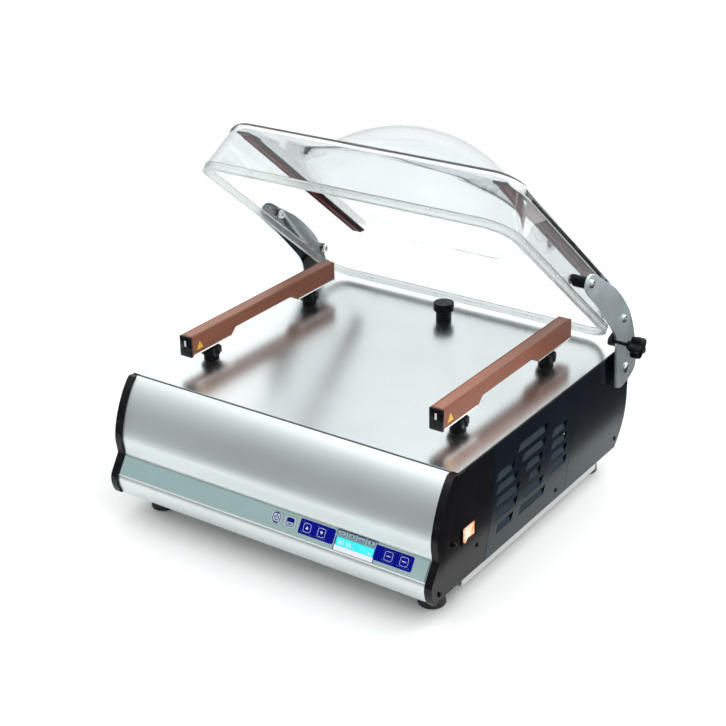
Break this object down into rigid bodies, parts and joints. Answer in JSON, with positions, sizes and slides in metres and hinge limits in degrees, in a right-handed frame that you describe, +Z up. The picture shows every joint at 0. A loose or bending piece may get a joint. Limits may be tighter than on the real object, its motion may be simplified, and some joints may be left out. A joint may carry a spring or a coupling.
{
  "type": "vacuum packing machine",
  "caption": "Benchtop chamber vacuum packing machine with a clear domed lid held open on side arms, two sealing bars, a sloping keypad with display and a lit side switch.",
  "frame": {"origin": "middle of the machine's box seen from above, at the underside of the feet", "axes": "+Z up, -Y towards the user (the keypad side), +X to the user's right; lid open at rest"},
  "size_m": [0.6134, 0.565, 0.5364],
  "materials": {
    "stainless": "satin stainless steel sheet",
    "aluminium": "satin anodised aluminium",
    "chassis": "zinc-plated steel sheet",
    "bright_steel": "polished steel",
    "gloss_black": "glossy black moulded plastic",
    "satin_black": "satin black moulded plastic",
    "rubber": "matt black rubber",
    "acrylic": "clear acrylic, polished",
    "gasket_silicone": "translucent whitish silicone",
    "ptfe_brown": "brown PTFE-coated glass tape over the bar",
    "red_silicone": "dark red silicone",
    "overlay": "grey polyester keypad film",
    "key_blue": "deep blue key",
    "lamp_orange": "lit orange rocker",
    "board_green": "green circuit board with a cyan display",
    "cast_grey": "cast housing",
    "motor_paint": "dark painted motor",
    "brass": "machined brass",
    "hose": "flexible vacuum hose"
  },
  "bodies": {
    "machine": {"front_profile": "aluminium", "end_cap_left": "gloss_black", "end_cap_right": "gloss_black", "vent_panel_left": "satin_black", "vent_panel_right": "satin_black", "side_panel_rear_left": "satin_black", "side_panel_rear_right": "satin_black", "rear_cover": "satin_black", "base_tray": "chassis", "top_plate": "stainless", "foot_front_left": "rubber", "foot_front_right": "rubber", "foot_rear_left": "rubber", "foot_rear_right": "rubber", "keypad_overlay": "overlay", "control_board": "board_green", "switch_bezel": "satin_black", "power_inlet": "gloss_black", "vacuum_pump": "cast_grey", "pump_motor": "motor_paint", "sealing_transformer": "cast_grey", "valve_block": "brass", "vacuum_hose": "hose", "suction_port": "bright_steel", "lift_cylinder_left": "aluminium", "lift_cylinder_right": "aluminium", "lid_spring": "bright_steel"},
    "lid": {"lid_dome": "acrylic", "lid_gasket": "gasket_silicone", "counter_bar_left": "red_silicone", "counter_bar_right": "red_silicone", "hinge_arm_left": "stainless", "hinge_arm_right": "stainless", "lid_spacer_front_left": "gloss_black", "lid_spacer_rear_left": "gloss_black", "lid_spacer_front_right": "gloss_black", "lid_spacer_rear_right": "gloss_black", "lid_buffer_left": "rubber", "lid_buffer_right": "rubber", "hinge_shaft": "bright_steel"},
    "lock_knob": {"lock_knob": "gloss_black"},
    "suction_cap": {"suction_cap": "gloss_black"},
    "switch_rocker": {"switch_rocker": "lamp_orange"},
    "fan_rotor": {"fan_rotor": "gloss_black"},
    "lift_left": {"lift_yoke_left": "satin_black"},
    "seal_bar_left": {"seal_bar_left": "ptfe_brown", "bar_end_cap_left": "gloss_black"},
    "post_knob_front_left": {"post_knob_front_left": "gloss_black"},
    "post_knob_rear_left": {"post_knob_rear_left": "gloss_black"},
    "lift_right": {"lift_yoke_right": "satin_black"},
    "seal_bar_right": {"seal_bar_right": "ptfe_brown", "bar_end_cap_right": "gloss_black"},
    "post_knob_front_right": {"post_knob_front_right": "gloss_black"},
    "post_knob_rear_right": {"post_knob_rear_right": "gloss_black"},
    "power_key": {"power_key": "key_blue"},
    "light_key": {"light_key": "key_blue"},
    "up_key": {"up_key": "key_blue"},
    "down_key": {"down_key": "key_blue"},
    "set_key": {"set_key": "key_blue"},
    "start_key": {"start_key": "key_blue"}
  },
  "joints": [
    {"name": "lid_hinge", "type": "hinge", "parent": "machine", "child": "lid", "pos_m": [0, 0.23348, 0.176], "axis": [1, 0, 0], "range_deg": [0, 40], "stiffness_Nm_per_rad": 4, "springref_deg": -166.16},
    {"name": "bar_lift_left", "type": "slide", "parent": "machine", "child": "lift_left", "axis": [0, 0, 1], "range_m": [0, 0.012]},
    {"name": "bar_removal_left", "type": "slide", "parent": "lift_left", "child": "seal_bar_left", "axis": [0, 0, -1], "range_m": [-0.05, 0]},
    {"name": "post_knob_turn_front_left", "type": "hinge", "parent": "lift_left", "child": "post_knob_front_left", "pos_m": [-0.23055, -0.11852, 0.215], "axis": [0, 0, 1], "continuous": true},
    {"name": "post_knob_turn_rear_left", "type": "hinge", "parent": "lift_left", "child": "post_knob_rear_left", "pos_m": [-0.23055, 0.12148, 0.215], "axis": [0, 0, 1], "continuous": true},
    {"name": "bar_lift_right", "type": "slide", "parent": "machine", "child": "lift_right", "axis": [0, 0, 1], "range_m": [0, 0.012]},
    {"name": "bar_removal_right", "type": "slide", "parent": "lift_right", "child": "seal_bar_right", "axis": [0, 0, -1], "range_m": [-0.05, 0]},
    {"name": "post_knob_turn_front_right", "type": "hinge", "parent": "lift_right", "child": "post_knob_front_right", "pos_m": [0.18985, -0.11852, 0.215], "axis": [0, 0, 1], "continuous": true},
    {"name": "post_knob_turn_rear_right", "type": "hinge", "parent": "lift_right", "child": "post_knob_rear_right", "pos_m": [0.18985, 0.12148, 0.215], "axis": [0, 0, 1], "continuous": true},
    {"name": "lock_knob_turn", "type": "hinge", "parent": "lid", "child": "lock_knob", "pos_m": [0.27965, 0.19377, 0.23321], "axis": [1, 0, 0], "continuous": true},
    {"name": "suction_cap_lift", "type": "slide", "parent": "machine", "child": "suction_cap", "axis": [0, 0, -1], "range_m": [-0.03, 0]},
    {"name": "power_key_press", "type": "slide", "parent": "machine", "child": "power_key", "axis": [0, 0.8441, -0.5362], "range_m": [0, 0.0006], "stiffness_N_per_m": 900},
    {"name": "light_key_press", "type": "slide", "parent": "machine", "child": "light_key", "axis": [0, 0.8441, -0.5362], "range_m": [0, 0.0006], "stiffness_N_per_m": 900},
    {"name": "up_key_press", "type": "slide", "parent": "machine", "child": "up_key", "axis": [0, 0.8441, -0.5362], "range_m": [0, 0.0006], "stiffness_N_per_m": 900},
    {"name": "down_key_press", "type": "slide", "parent": "machine", "child": "down_key", "axis": [0, 0.8441, -0.5362], "range_m": [0, 0.0006], "stiffness_N_per_m": 900},
    {"name": "set_key_press", "type": "slide", "parent": "machine", "child": "set_key", "axis": [0, 0.8441, -0.5362], "range_m": [0, 0.0006], "stiffness_N_per_m": 900},
    {"name": "start_key_press", "type": "slide", "parent": "machine", "child": "start_key", "axis": [0, 0.8441, -0.5362], "range_m": [0, 0.0006], "stiffness_N_per_m": 900},
    {"name": "rocker_tilt", "type": "hinge", "parent": "machine", "child": "switch_rocker", "pos_m": [0.25015, -0.18952, 0.107], "axis": [0, 0, -1], "range_deg": [0, 16]},
    {"name": "fan_spin", "type": "hinge", "parent": "machine", "child": "fan_rotor", "pos_m": [0.10465, 0.00748, 0.092], "axis": [1, 0, 0], "continuous": true}
  ]
}
